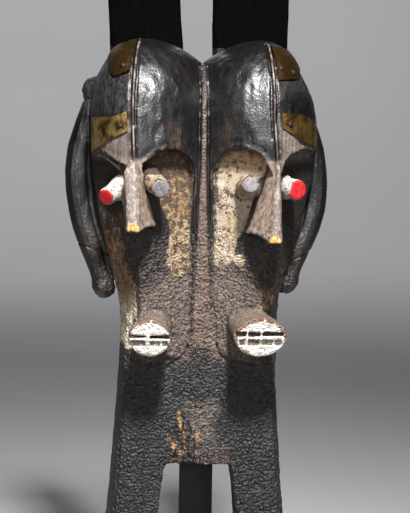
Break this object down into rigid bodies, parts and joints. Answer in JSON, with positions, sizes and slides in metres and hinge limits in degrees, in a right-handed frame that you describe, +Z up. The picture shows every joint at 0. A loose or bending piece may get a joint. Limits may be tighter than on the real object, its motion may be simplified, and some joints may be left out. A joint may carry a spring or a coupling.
{
  "type": "ijo double-headed headdress on a display stand",
  "caption": "Carved wooden water spirit headdress with twin heads, peg eyes, drum mouths and a plank body with legs, held upright on a black steel display stand.",
  "frame": {"origin": "centre of the underside of the stand's foot plate, on the surface it stands on", "axes": "+Z up; the faces look along -Y; +X to the right of someone who faces the carving"},
  "size_m": [0.2662, 0.1918, 0.775],
  "materials": {
    "carved_wood": "old black patina with worn brown edges, white kaolin on the faces, glossy foreheads, matt body",
    "sheet_brass": "dull, tarnished, hammered thin sheet",
    "iron_nail": "dark, lightly rusted",
    "stand_steel": "matt black paint"
  },
  "bodies": {
    "root": {"mask_body": "carved_wood", "brass_sheet_top_left": "sheet_brass", "brass_sheet_brow_left": "sheet_brass", "brass_sheet_top_right": "sheet_brass", "brass_sheet_brow_right": "sheet_brass", "nail_top_left_1": "iron_nail", "nail_brow_left_1": "iron_nail", "nail_top_right_1": "iron_nail", "nail_top_right_2": "iron_nail", "nail_brow_right_1": "iron_nail", "stand_post": "stand_steel", "stand_base": "stand_steel"}
  },
  "joints": []
}
